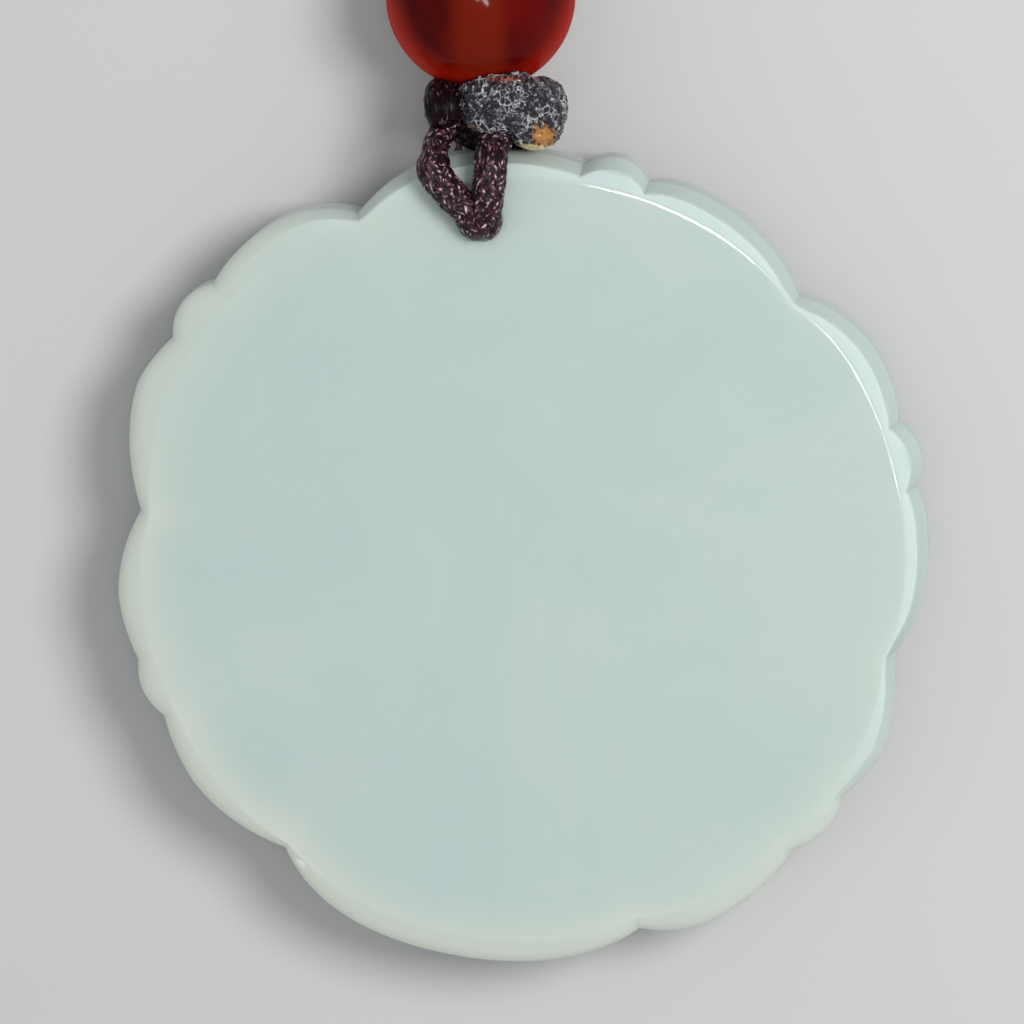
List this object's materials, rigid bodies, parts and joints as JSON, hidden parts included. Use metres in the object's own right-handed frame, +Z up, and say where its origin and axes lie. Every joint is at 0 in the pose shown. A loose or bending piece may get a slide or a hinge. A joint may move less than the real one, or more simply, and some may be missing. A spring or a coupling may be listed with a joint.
{
  "type": "jade pendant",
  "caption": "Petal-edged jade pendant lying carved side down, on a dark cord loop with a melted knot and a red agate bead, its neck cord wound in a coil.",
  "frame": {"origin": "on the floor, under the middle of the pendant with its loop, knots and bead, the neck cord left out", "axes": "+Z up out of the polished back, as the pendant lies carved side down; +Y from the disc towards the bead; +X to the right of that, seen from above"},
  "size_m": [0.0436, 0.0978, 0.0101],
  "materials": {
    "jade": "polished",
    "loop_thread": "braided",
    "melted_cord": "melted, glossy",
    "agate": "polished",
    "inner_thread": "braided",
    "knot_thread": "braided",
    "neck_cord_out_thread": "braided",
    "coil_thread": "braided",
    "neck_cord_back_thread": "braided"
  },
  "bodies": {
    "root": {"jade_disc": "jade", "bail_loop": "loop_thread", "sealed_knot": "melted_cord", "agate_bead": "agate", "bead_cord": "inner_thread", "top_knot": "knot_thread", "neck_cord_out": "neck_cord_out_thread", "neck_cord_coil": "coil_thread", "neck_cord_back": "neck_cord_back_thread"}
  },
  "joints": []
}
